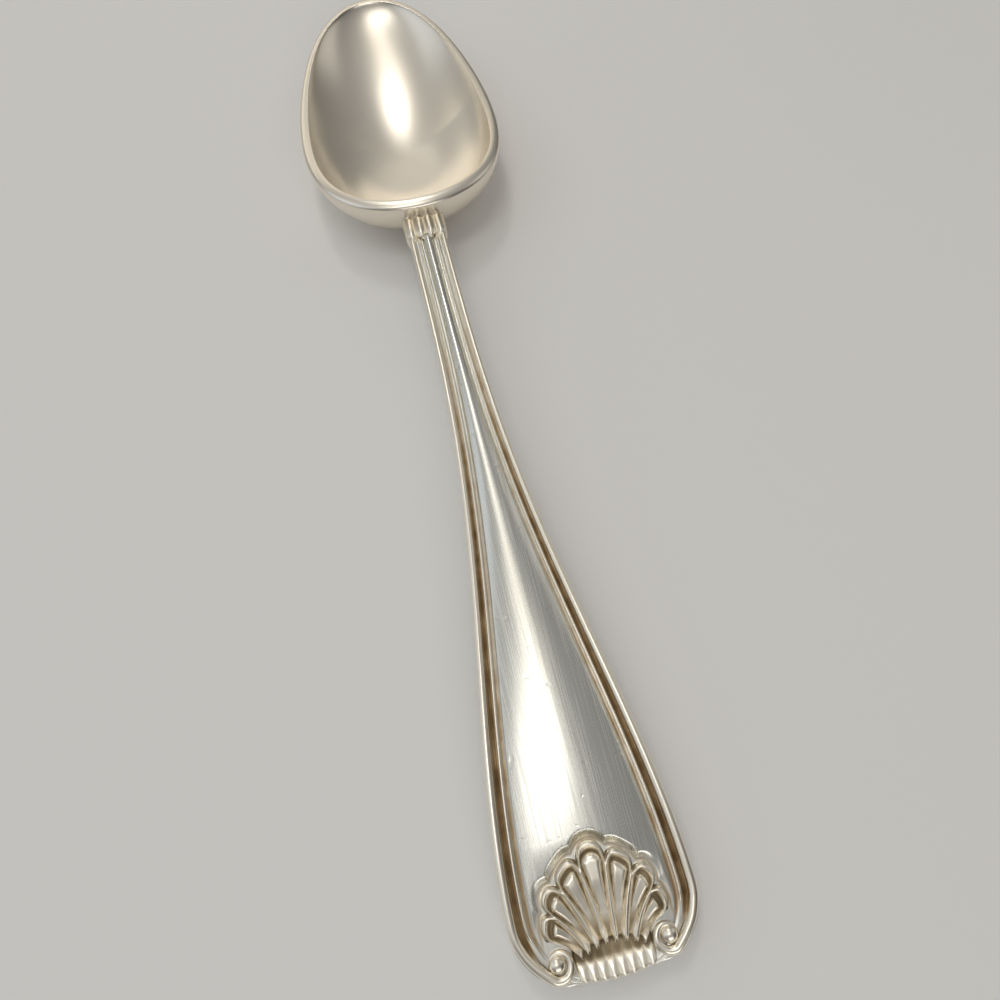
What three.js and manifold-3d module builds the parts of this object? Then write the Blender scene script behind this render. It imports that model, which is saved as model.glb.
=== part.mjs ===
// A teaspoon with a threaded border and a scallop shell on its handle, lying bowl up on a table.
// Millimetres. +Z is up and +Y runs from the handle's end to the bowl's tip. A place along the spoon is
// given as its distance from the handle's end, and the last lines bring the spoon's middle to the origin.
import * as THREE from "three";
import { mergeVertices } from "three/addons/utils/BufferGeometryUtils.js";
import Module from "manifold-3d";

// Bowl
const BOWL_LENGTH = 49.2;
const BOWL_WIDTH = 29.2;
const BOWL_TAPER = 0.17; // how much fuller the back half of the outline is than the tip
const BOWL_FULLNESS = 0.15; // how square the outline's two ends are
const BOWL_WALL = 1.2; // metal under the deepest point
const BELLY_BACK = 3.5; // the deepest point lies this far behind the bowl's middle
const WALL_BEND = 2; // exponent of the wall's curve at the sides and the tip
const WALL_FALL = 0.8; // exponent of its run-out at the rim: the smaller, the steeper
const BACK_BEND = 2.6; // the same two at the back, where the wall stands steeper
const BACK_FALL = 0.39;
const RIM_HEIGHT = 7.7; // rim above the table, half way along the bowl
const RIM_RISE = 1.9; // how much higher the rim stands at the tip and at the back
const RIM_WIDTH = 1.5;
const RIM_BEVEL = 0.35; // the rim's outer edge lies this much lower than its inner edge
const REST_RADIUS = 2.4; // worn flat under the bowl

// Handle, seen from above
const HANDLE_LENGTH = 91.2; // from the end to the back of the bowl's rim
const HANDLE_WIDTH = 18.2;
const STEM_WIDTH = 5;
const END_FLAT = 6.6; // straight stretch across the end
const END_CORNER = 6; // length of the rounded corner beside it
const END_SQUARENESS = 2.05; // exponent of the corner's curve: 2 is an ellipse
const FLARE_LENGTH = 80; // from the widest place to where the stem runs parallel
const FLARE_POWER = 3.5; // how soon the handle narrows

// Handle, seen from the side: heights of the ledge that the border lies on
const END_SEAT = 2;
const END_SLOPE = 0.08; // rise per millimetre at the end
const NECK_SEAT = 6.9;
const NECK_SLOPE = 0.03; // rise per millimetre at the bowl
const END_THICKNESS = 2.25;
const NECK_THICKNESS = 2.9;
const EDGE_ROUND = 0.35; // rounding of the side walls
const BACK_ROUND = 0.45; // the back's edges stand this much higher than its middle
const BACK_FLAT = 0.6; // share of the width over which the back is flat
const PANEL_CROWN = 0.8; // height of the domed panel over the ledge
const STEM_CROWN = 0.45; // the same on the stem, where the panel is a narrow rib

// Border, from the edge inwards, at the handle's widest place
const BEAD_WIDTH = 0.95;
const BEAD_HEIGHT = 0.55;
const GROOVE_WIDTH = 0.58;
const THREAD_WIDTH = 0.38;
const THREAD_HEIGHT = 0.32;
const FINE_GROOVE_WIDTH = 0.45;
const STEM_BORDER = 0.76; // share of those widths that is left on the stem

// Ornament at the handle's end
const SHELL_LOBES = 7;
const SHELL_FOOT = 3.1; // place of the teeth on the axis
const SHELL_MIDDLE = 2.7; // place from which the fan spreads
const SHELL_HEIGHT = 8.4; // from there to the top
const SHELL_MARGIN = 0.3; // between the shell's widest place and the inner thread
const SHELL_SPREAD = 78; // degrees from the axis to the last ridge
const SHELL_FOOT_WIDTH = 6;
const SHELL_FOOT_BOW = 0.07; // curve of the row of teeth, per millimetre
const SHELL_NOTCH = 0.6; // depth of the notches between the lobes
const SHELL_THICKNESS = 0.4;
const RIDGE_HEIGHT = 0.45;
const TONGUE_HEIGHT = 0.4;
const MOAT_WIDTH = 0.9; // sunk line around the shell
const SCROLL_PLACE = 1.85;
const SCROLL_ACROSS = 10.4; // between the middles of the two scrolls
const SCROLL_RADIUS = 1.2;
const SCROLL_EYE_RADIUS = 0.45;
const SCROLL_TURNS = 1;
const SCROLL_THINNING = 0.35; // share of the bead's width that is lost along the scroll
const FOOT_RIBS = 8;
const FOOT_START = 0.1;
const FOOT_LENGTH = 1.5;
const FOOT_BOW = 0.035; // curve of the roll's lower edge, per millimetre
const FOOT_HEIGHT = 0.75;
const RIB_DEPTH = 0.22;

// Collar between the stem and the bowl
const COLLAR_LENGTH = 3.5;
const COLLAR_PROUD = 0.4; // how far it stands out around the stem
const COLLAR_LOBES = 4;
const COLLAR_LOBE_HEIGHT = 0.35;
const HEEL_LENGTH = 8; // reach of the heel under the bowl, measured from the rim's back
const HEEL_DROP = 1.6; // how much lower the heel ends than it starts

const SOLDER_FILM = 0.1; // between each piece and its seat

// Fineness of the facets
const BOWL_SIDES = 48;
const BOWL_RINGS = 8;
const STEM_STEPS = 26;
const CORNER_STEPS = 8;
const DOME_STEPS = 8;
const BEAD_SIDES = 6;
const LOBE_STEPS = 6;
const SHELL_ROWS = 10;
const RIB_STEPS = 4;
const FOOT_ROWS = 5;
const SCROLL_STEPS = 14;

const NECK_PLACE = HANDLE_LENGTH - COLLAR_LENGTH;
const BOWL_MIDDLE = HANDLE_LENGTH + BOWL_LENGTH / 2;
const BORDER_WIDTH = BEAD_WIDTH + GROOVE_WIDTH + THREAD_WIDTH + FINE_GROOVE_WIDTH;
const SCROLL_REACH = SCROLL_RADIUS + BEAD_WIDTH / 2;
const HIGH = 2 * (RIM_HEIGHT + RIM_RISE); // above everything, for cutters

const wasm = await Module();
wasm.setup();

const steps = (count) => Array.from({ length: count + 1 }, (_, i) => i / count);
const between = (a, b, t) => a + (b - a) * t;

function smoothStep(t) {
  return THREE.MathUtils.smoothstep(t, 0, 1);
}

// A cubic from height a to height b whose rise per unit of t starts at slopeA and ends at slopeB.
function hermite(t, a, slopeA, b, slopeB) {
  const rest = 1 - t;
  return a * rest * rest * (1 + 2 * t) + b * t * t * (3 - 2 * t) + slopeA * t * rest * rest - slopeB * t * t * rest;
}

function geometryFrom(points, triangles) {
  const flat = points.flatMap((p) => [p.x, p.y, p.z]);
  const geometry = new THREE.BufferGeometry();
  geometry.setAttribute("position", new THREE.Float32BufferAttribute(flat, 3));
  geometry.setIndex(triangles.flat());
  geometry.computeVertexNormals();
  return geometry;
}

// A closed solid through rings of as many points each, with a fan over the first and the last ring.
function loft(rings) {
  const sides = rings[0].length;
  const points = rings.flat();
  const triangles = [];
  for (let i = 0; i + 1 < rings.length; i++) {
    for (let j = 0; j < sides; j++) {
      const a = i * sides + j;
      const b = i * sides + ((j + 1) % sides);
      triangles.push([a, b, b + sides], [a, b + sides, a + sides]);
    }
  }
  for (const [ring, start, flip] of [
    [rings[0], 0, true],
    [rings.at(-1), (rings.length - 1) * sides, false],
  ]) {
    const middle = points.length;
    points.push(ring.reduce((sum, p) => sum.add(p), new THREE.Vector3()).divideScalar(sides));
    for (let j = 0; j < sides; j++) {
      const a = start + j;
      const b = start + ((j + 1) % sides);
      triangles.push(flip ? [middle, b, a] : [middle, a, b]);
    }
  }
  return geometryFrom(points, triangles);
}

// A closed solid between two surfaces, each given as rows of as many points.
function slab(top, bottom) {
  const columns = top[0].length;
  const ring = (i) => [...top[i], ...bottom[i].toReversed()];
  const rings = top.map((_, i) => ring(i));
  const sides = 2 * columns;
  const triangles = [];
  for (let i = 0; i + 1 < rings.length; i++) {
    for (let j = 0; j < sides; j++) {
      const a = i * sides + j;
      const b = i * sides + ((j + 1) % sides);
      triangles.push([a, b, b + sides], [a, b + sides, a + sides]);
    }
  }
  const last = (rings.length - 1) * sides;
  for (let j = 0; j + 1 < columns; j++) {
    const below = sides - 1 - j;
    triangles.push([j, below - 1, j + 1], [j, below, below - 1]);
    triangles.push([last + j, last + j + 1, last + below - 1], [last + j, last + below - 1, last + below]);
  }
  return geometryFrom(rings.flat(), triangles);
}

function solidOf(geometry) {
  const bare = geometry.clone();
  bare.deleteAttribute("normal");
  bare.deleteAttribute("uv");
  const merged = mergeVertices(bare);
  return new wasm.Manifold(
    new wasm.Mesh({
      numProp: 3,
      vertProperties: new Float32Array(merged.getAttribute("position").array),
      triVerts: new Uint32Array(merged.getIndex().array),
    }),
  );
}

function geometryOf(solid) {
  const mesh = solid.getMesh();
  const geometry = new THREE.BufferGeometry();
  geometry.setAttribute("position", new THREE.Float32BufferAttribute(mesh.vertProperties, mesh.numProp));
  geometry.setIndex(Array.from(mesh.triVerts));
  geometry.computeVertexNormals();
  return geometry;
}

// Handle outline and side profile

function halfWidth(place) {
  if (place < END_CORNER) {
    const left = 1 - Math.max(place, 0) / END_CORNER;
    const spread = (1 - left ** END_SQUARENESS) ** (1 / END_SQUARENESS);
    return (END_FLAT + (HANDLE_WIDTH - END_FLAT) * spread) / 2;
  }
  const t = Math.min((place - END_CORNER) / FLARE_LENGTH, 1);
  const flare = (1 - t) ** FLARE_POWER * (1 + FLARE_POWER * t);
  return (STEM_WIDTH + (HANDLE_WIDTH - STEM_WIDTH) * flare) / 2;
}

// How wide the handle is at a place, as a share: 0 on the stem and 1 from the widest place to the end.
function wideness(place) {
  return (2 * halfWidth(Math.max(place, END_CORNER)) - STEM_WIDTH) / (HANDLE_WIDTH - STEM_WIDTH);
}

// The border narrows with the handle.
const borderShare = (place) => between(STEM_BORDER, 1, wideness(place));

const panelHalfWidth = (place) => halfWidth(place) - BORDER_WIDTH * borderShare(place);

function seatHeight(place) {
  const endRise = END_SLOPE * HANDLE_LENGTH;
  const neckRise = NECK_SLOPE * HANDLE_LENGTH;
  return hermite(place / HANDLE_LENGTH, END_SEAT, endRise, NECK_SEAT, neckRise);
}

function backHeight(place) {
  const thickness = between(END_THICKNESS, NECK_THICKNESS, smoothStep(place / HANDLE_LENGTH));
  return Math.max(0, seatHeight(place) - thickness);
}

// The panel's dome dies out towards the scrolls, so that the ornament has a flat seat.
function crownHeight(place) {
  const crown = between(STEM_CROWN, PANEL_CROWN, wideness(place) ** 0.5);
  return crown * smoothStep((place - SCROLL_PLACE - SCROLL_REACH) / SHELL_HEIGHT);
}

const handlePlaces = [
  ...steps(CORNER_STEPS).map((t) => END_CORNER * (1 - Math.cos((t * Math.PI) / 2))),
  ...steps(STEM_STEPS).slice(1).map((t) => between(END_CORNER, NECK_PLACE - SOLDER_FILM, t)),
];

// One cross-section of the bare handle: ledge, domed panel, side walls and back.
function handleSection(place) {
  const wide = halfWidth(place);
  const panel = panelHalfWidth(place);
  const seat = seatHeight(place);
  const back = backHeight(place);
  const crown = crownHeight(place);
  const right = [
    [wide, seat - EDGE_ROUND],
    [wide - EDGE_ROUND / 2, back + BACK_ROUND],
    [wide * BACK_FLAT, back],
  ];
  const dome = steps(DOME_STEPS).map((t) => {
    const across = 2 * t - 1;
    return [panel * across, seat + crown * (1 - across * across)];
  });
  const half = [[wide - EDGE_ROUND / 4, seat], ...right];
  const mirrored = half.map(([x, z]) => [-x, z]).toReversed();
  return [...mirrored, ...dome, ...half].map(([x, z]) => new THREE.Vector3(x, place, z));
}

// Shell outline: u runs from -1 to 1 across the fan and v from the teeth to the scalloped edge.

// Where u falls within its own lobe: 0 on the lobe's middle, -1 and 1 on the ridges beside it.
function withinLobe(u) {
  const lobes = SHELL_LOBES * u;
  const lobe = THREE.MathUtils.clamp(2 * Math.round(lobes / 2), 1 - SHELL_LOBES, SHELL_LOBES - 1);
  return lobes - lobe;
}

const shellHalfWidth = panelHalfWidth(SHELL_MIDDLE + SHELL_HEIGHT / 4) - SHELL_MARGIN;

function shellPoint(u, v, grow) {
  const angle = THREE.MathUtils.degToRad(SHELL_SPREAD * u);
  const notch = SHELL_NOTCH * withinLobe(u) ** 2;
  const footX = (u * SHELL_FOOT_WIDTH) / 2;
  const foot = new THREE.Vector2(footX, SHELL_FOOT - SHELL_FOOT_BOW * footX * footX);
  const edge = new THREE.Vector2(
    (shellHalfWidth + grow - notch) * Math.sin(angle),
    SHELL_MIDDLE + (SHELL_HEIGHT + grow - notch) * Math.cos(angle),
  );
  const knee = new THREE.Vector2(between(foot.x, edge.x, 0.4), between(foot.y, edge.y, 0.55));
  return new THREE.QuadraticBezierCurve(foot, knee, edge).getPoint(v);
}

const shellColumns = steps(SHELL_LOBES * LOBE_STEPS).map((t) => 2 * t - 1);
const shellRows = steps(SHELL_ROWS).map((t) => 1 - (1 - t) ** 1.4);

// Ridges run up between the lobes and arch over each one; a tongue swells inside every arch.
function shellRelief(u, v) {
  const across = Math.abs(withinLobe(u));
  const above = Math.max(0, (v - 0.6) / 0.4);
  const toEdge = Math.hypot(across ** 2, above ** 2) ** 0.5;
  const ridge = RIDGE_HEIGHT * smoothStep((toEdge - 0.62) / 0.3);
  const tongue = TONGUE_HEIGHT * smoothStep(1.9 * (1 - toEdge / 0.62)) * smoothStep(v / 0.3);
  return SHELL_THICKNESS + Math.max(ridge, tongue);
}

function makeShell() {
  const onSeat = (u, v, height) => {
    const p = shellPoint(u, v, 0);
    return new THREE.Vector3(p.x, p.y, seatHeight(p.y) + SOLDER_FILM + height);
  };
  const grid = (height) => shellRows.map((v) => shellColumns.map((u) => onSeat(u, v, height(u, v))));
  let shell = solidOf(slab(grid(shellRelief), grid(() => 0)));
  for (const side of [-1, 1]) {
    shell = shell.subtract(scrollCutter(side));
  }
  return geometryOf(shell);
}

// An upright pin that clears the space of one scroll.
function scrollCutter(side) {
  const cutter = new THREE.CylinderGeometry(SCROLL_REACH + SOLDER_FILM, SCROLL_REACH + SOLDER_FILM, 2 * HIGH, 32);
  cutter.rotateX(Math.PI / 2);
  cutter.translate((side * SCROLL_ACROSS) / 2, SCROLL_PLACE, 0);
  return solidOf(cutter);
}

function makeHandle() {
  const bar = solidOf(loft(handlePlaces.map(handleSection)));
  const grid = (height) =>
    shellRows.map((v) =>
      shellColumns.map((u) => {
        const p = shellPoint(u, v, MOAT_WIDTH);
        return new THREE.Vector3(p.x, p.y, height(p.y));
      }),
    );
  const moat = solidOf(slab(grid(() => HIGH), grid(seatHeight)));
  return geometryOf(bar.subtract(moat));
}

// Border

// A point that lies a given depth inside the outline, on the +X side.
function insideOutline(place, depth) {
  const step = 0.01;
  const slope = (halfWidth(place + step) - halfWidth(Math.max(place - step, 0))) / (2 * step);
  const normal = new THREE.Vector2(1, -slope).normalize();
  return new THREE.Vector2(halfWidth(place), place).addScaledVector(normal, -depth);
}

// A half-round wire on the ledge along a path of points in plan, each with its own width and height.
function wire(path, widths, heights, side) {
  const rings = path.map((p, i) => {
    const ahead = path[Math.min(i + 1, path.length - 1)];
    const behind = path[Math.max(i - 1, 0)];
    const along = ahead.clone().sub(behind).normalize();
    const across = new THREE.Vector2(along.y, -along.x);
    return steps(BEAD_SIDES).map((t) => {
      const angle = Math.PI * t;
      const flat = p.clone().addScaledVector(across, (-widths[i] / 2) * Math.cos(angle));
      const lift = heights[i] * Math.sin(angle);
      return new THREE.Vector3(side * flat.x, flat.y, seatHeight(flat.y) + SOLDER_FILM + lift);
    });
  });
  return loft(side > 0 ? rings : rings.map((ring) => ring.toReversed()));
}

// The outer wire follows the edge from the collar to the end and curls up in a scroll.
function makeBorder(side) {
  const lowest = 3 * BEAD_WIDTH;
  const straight = handlePlaces.filter((place) => place > lowest).toReversed();
  const edge = straight.map((place) => insideOutline(place, (BEAD_WIDTH * borderShare(place)) / 2));
  const eye = new THREE.Vector2(SCROLL_ACROSS / 2, SCROLL_PLACE);
  const curl = steps(SCROLL_STEPS).map((t) => {
    const angle = -Math.PI / 2 - 2 * Math.PI * SCROLL_TURNS * t;
    const radius = between(SCROLL_RADIUS, SCROLL_EYE_RADIUS, t * t);
    return eye.clone().add(new THREE.Vector2(Math.cos(angle), Math.sin(angle)).multiplyScalar(radius));
  });
  const shares = [...straight.map(borderShare), ...curl.map((_, i) => 1 - (SCROLL_THINNING * i) / SCROLL_STEPS)];
  const widths = shares.map((share) => BEAD_WIDTH * share);
  const heights = shares.map((share) => BEAD_HEIGHT * share);
  return wire([...edge, ...curl], widths, heights, side);
}

// The inner wire runs beside the groove and stops short of the scroll.
function makeThread(side) {
  const lowest = SCROLL_PLACE + SCROLL_REACH;
  const places = handlePlaces.filter((place) => place > lowest).toReversed();
  const depth = BEAD_WIDTH + GROOVE_WIDTH + THREAD_WIDTH / 2;
  const path = places.map((place) => insideOutline(place, depth * borderShare(place)));
  const widths = places.map((place) => THREAD_WIDTH * borderShare(place));
  const heights = places.map((place) => THREAD_HEIGHT * borderShare(place));
  return wire(path, widths, heights, side);
}

// The ribbed roll below the shell, between the scrolls.
function makeFoot() {
  const half = SCROLL_ACROSS / 2 - SCROLL_REACH - SOLDER_FILM;
  const columns = steps(FOOT_RIBS * RIB_STEPS).map((t) => 2 * t - 1);
  const grid = (height) =>
    steps(FOOT_ROWS).map((v) =>
      columns.map((u) => {
        const x = half * u;
        const place = between(FOOT_START + FOOT_BOW * x * x, FOOT_START + FOOT_LENGTH, v);
        return new THREE.Vector3(x, place, seatHeight(place) + SOLDER_FILM + height(u, v));
      }),
    );
  const roll = (u, v) => {
    const rib = Math.abs(Math.cos((Math.PI / 2) * FOOT_RIBS * (u + 1) + Math.PI / 2));
    return FOOT_HEIGHT * between(0.35, 1, Math.sin(Math.PI * between(0.12, 1, v))) + RIB_DEPTH * (rib - 1);
  };
  return slab(grid(roll), grid(() => 0));
}

// Bowl

// The rim's outline at an angle: 0 at the tip, pi at the back. Its middle is the bowl's middle.
function bowlShare(angle) {
  const c = Math.cos(angle);
  return Math.sin(angle) * (1 - BOWL_TAPER * c + BOWL_FULLNESS * c * c);
}

const widestShare = Math.max(...steps(720).map((t) => bowlShare(Math.PI * t)));

function rimPoint(angle, inset) {
  const x = ((BOWL_WIDTH / 2) * bowlShare(angle)) / widestShare;
  const y = (BOWL_LENGTH / 2) * Math.cos(angle);
  const belly = new THREE.Vector2(0, -BELLY_BACK);
  const reach = new THREE.Vector2(x, y).sub(belly);
  const point = belly.addScaledVector(reach, 1 - inset / reach.length());
  return new THREE.Vector3(point.x, BOWL_MIDDLE + point.y, RIM_HEIGHT + RIM_RISE * Math.cos(angle) ** 2);
}

// One ring of a bowl surface: share 0 is the deepest point, 1 the rim, and floor the deepest height.
function bowlRing(share, inset, floor, drop) {
  const belly = new THREE.Vector3(0, BOWL_MIDDLE - BELLY_BACK, floor);
  return steps(BOWL_SIDES).slice(1).map((t) => {
    const angle = 2 * Math.PI * t;
    const rim = rimPoint(angle, inset);
    const back = Math.max(0, -Math.cos(angle)) * smoothStep(2 * share);
    const bend = between(WALL_BEND, BACK_BEND, back);
    const fall = between(WALL_FALL, BACK_FALL, back);
    const point = belly.clone().lerp(rim, share);
    point.z = between(rim.z - drop, floor, (1 - share ** bend) ** fall);
    return point;
  });
}

const bowlShares = steps(BOWL_RINGS).map((t) => Math.sin((t * Math.PI) / 2));

// Rings of the outside, from the rim down to the worn flat, which lies on the table.
function outerRings(grow) {
  const flat = REST_RADIUS / (BOWL_WIDTH / 2);
  const shares = bowlShares.map((share) => between(flat, 1, share)).toReversed();
  return shares.map((share, i) => {
    const ring = bowlRing(share, -grow, -grow, RIM_BEVEL);
    return i + 1 < shares.length ? ring : ring.map((p) => p.setZ(-grow));
  });
}

function makeBowl() {
  const inner = bowlShares.slice(1).map((share) => bowlRing(share, RIM_WIDTH, BOWL_WALL, 0));
  return loft([...inner, ...outerRings(0)]);
}

// The bowl's body with its hollow filled and with everything above it, for cutting what seats on it.
function bowlCutter() {
  const lid = outerRings(SOLDER_FILM)[0].map((p) => p.clone().setZ(HIGH));
  return solidOf(loft([lid, ...outerRings(SOLDER_FILM)]));
}

// The lobed collar clasps the stem's end and runs on as a heel under the bowl.
function makeCollar() {
  const stemSeat = seatHeight(NECK_PLACE);
  const stemBack = backHeight(NECK_PLACE);
  const nose = COLLAR_LENGTH / 8;
  const section = (place, share, drop) => {
    const half = (STEM_WIDTH / 2 + COLLAR_PROUD) * share;
    const top = stemSeat + STEM_CROWN * share;
    const low = stemBack - COLLAR_PROUD * share - drop;
    const lobes = steps(COLLAR_LOBES * RIB_STEPS).map((t) => {
      const lobe = Math.abs(Math.sin(Math.PI * COLLAR_LOBES * t));
      const across = 2 * t - 1;
      return [half * across, top + COLLAR_LOBE_HEIGHT * share * (lobe - across * across)];
    });
    const shoulder = (top + low) / 2;
    const outline = [...lobes, [half, shoulder], [half * 0.7, low], [-half * 0.7, low], [-half, shoulder]];
    return outline.map(([x, z]) => new THREE.Vector3(x, place, z));
  };
  const reach = HANDLE_LENGTH + HEEL_LENGTH;
  const rings = [
    section(NECK_PLACE, 0.9, 0),
    section(NECK_PLACE + nose, 1, 0),
    section(HANDLE_LENGTH, 1, HEEL_DROP / 3),
    section(reach, 1, HEEL_DROP),
  ];
  return geometryOf(solidOf(loft(rings)).subtract(bowlCutter()));
}

const silver = (color, roughness) => new THREE.MeshStandardMaterial({ color, roughness, metalness: 1 });
const polished = silver(0xd8d4ca, 0.16);
const struck = silver(0xcfc8b8, 0.28);

const spoon = new THREE.Group();
const pieces = [
  ["bowl", makeBowl(), polished],
  ["heel_collar", makeCollar(), struck],
  ["handle_blank", makeHandle(), polished],
  ["border_wire_left", makeBorder(-1), struck],
  ["border_wire_right", makeBorder(1), struck],
  ["inner_thread_left", makeThread(-1), struck],
  ["inner_thread_right", makeThread(1), struck],
  ["scallop_shell", makeShell(), struck],
  ["ribbed_foot", makeFoot(), struck],
];
for (const [name, geometry, material] of pieces) {
  const piece = new THREE.Mesh(geometry, material);
  piece.name = name;
  spoon.add(piece);
}
spoon.position.y = -(HANDLE_LENGTH + BOWL_LENGTH) / 2;

const teaspoon = new THREE.Group();
teaspoon.add(spoon);
export default teaspoon;
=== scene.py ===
"""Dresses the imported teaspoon: one struck piece of silver for each of its solids, on a pale table."""

import logging
import math
from abc import ABC, abstractmethod
from bisect import bisect_left
from collections.abc import Sequence
from dataclasses import dataclass, field, replace
from enum import Enum
from typing import NamedTuple

import bmesh
import bpy
from mathutils import Matrix, Vector


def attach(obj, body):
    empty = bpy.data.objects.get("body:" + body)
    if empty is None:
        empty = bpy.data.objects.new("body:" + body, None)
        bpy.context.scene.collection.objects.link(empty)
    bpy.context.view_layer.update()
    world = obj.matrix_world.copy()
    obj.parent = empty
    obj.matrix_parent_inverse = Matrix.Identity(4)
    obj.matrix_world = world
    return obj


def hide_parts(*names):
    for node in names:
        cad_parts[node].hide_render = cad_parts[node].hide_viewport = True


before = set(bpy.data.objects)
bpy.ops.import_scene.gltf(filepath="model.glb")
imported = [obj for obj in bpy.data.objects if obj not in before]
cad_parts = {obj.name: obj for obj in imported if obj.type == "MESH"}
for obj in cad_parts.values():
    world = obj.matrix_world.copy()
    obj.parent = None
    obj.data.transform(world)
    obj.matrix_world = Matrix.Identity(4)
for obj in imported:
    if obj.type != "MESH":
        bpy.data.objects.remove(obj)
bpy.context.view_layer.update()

log = logging.getLogger("teaspoon")

MM = 0.001
BODY = "root"
HOLLOW = "hollow"

# A run is where a change starts and how long it takes. A pair is a value at the start and one at the end.
Run = tuple[float, float]
Pair = tuple[float, float]
Place = tuple[float, float, float]
Colour = tuple[float, float, float, float]
Value = bpy.types.NodeSocket | float | Place | Colour
Rows = list[list["Spot"]]


class Side(Enum):
    """The two sides of the handle, seen from its end."""

    LEFT = -1
    RIGHT = 1


class Slot(Enum):
    """The record's two finishes."""

    POLISHED = "polished_silver"
    STRUCK = "struck_silver"


class Look(Enum):
    """The finishes as they are seen: the bowl is rubbed duller than the handle."""

    HANDLE = "handle"
    BOWL = "bowl"
    ORNAMENT = "ornament"


class Spot(NamedTuple):
    """A point of a surface, in millimetres, and how deep it lies in a hollow, from 0 to 1, which sets its
    tarnish and painted shade.
    """

    x: float
    s: float
    z: float
    hollow: float = 0.0


def between(a: float, b: float, t: float) -> float:
    """Returns the value a share t of the way from a to b."""
    return a + (b - a) * t


def clamp(t: float) -> float:
    """Returns t held between 0 and 1."""
    return min(max(t, 0.0), 1.0)


def smooth(t: float, start: float = 0.0, run: float = 1.0) -> float:
    """Returns an even rise from 0 to 1 while t goes from the start over the run."""
    t = clamp((t - start) / run)
    return t * t * (3 - 2 * t)


def bulge(t: float) -> float:
    """Returns the rise of a quarter round from 0 to 1 while t goes from 0 to 1."""
    return math.sqrt(1 - (1 - clamp(t)) ** 2)


def hump(t: float) -> float:
    """Returns a rounded hump: 1 where t is 0, and 0 from 1 on."""
    return math.cos(math.pi / 2 * min(abs(t), 1.0)) ** 2


def steps(count: int, start: float = 0.0, end: float = 1.0) -> list[float]:
    """Returns count + 1 evenly spaced values from start to end."""
    return [between(start, end, i / count) for i in range(count + 1)]


def soften(corners: Sequence[tuple[float, float]], reach: float, arc: int) -> list[tuple[float, float]]:
    """Rounds the inner corners of an open line.

    Args:
        corners: The line's corners.
        reach: How far along its two stretches each rounding starts, at most half a stretch.
        arc: Number of steps in each rounding.

    Returns:
        The rounded line, with the same number of points whatever the corners.
    """
    points = [Vector(c) for c in corners]
    line = [points[0]]
    for before, corner, after in zip(points, points[1:], points[2:]):
        start = corner + (before - corner).normalized() * min(reach, (before - corner).length / 2)
        end = corner + (after - corner).normalized() * min(reach, (after - corner).length / 2)
        for t in steps(arc):
            line.append(start.lerp(corner, t).lerp(corner.lerp(end, t), t))
    line.append(points[-1])
    return [(p.x, p.y) for p in line]


def link(name: str, data: bpy.types.ID) -> bpy.types.Object:
    """Adds an object to the scene.

    Args:
        name: The object's name.
        data: Its mesh, lamp or camera.

    Returns:
        The object.
    """
    made = bpy.data.objects.new(name, data)
    bpy.context.scene.collection.objects.link(made)
    return made


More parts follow.
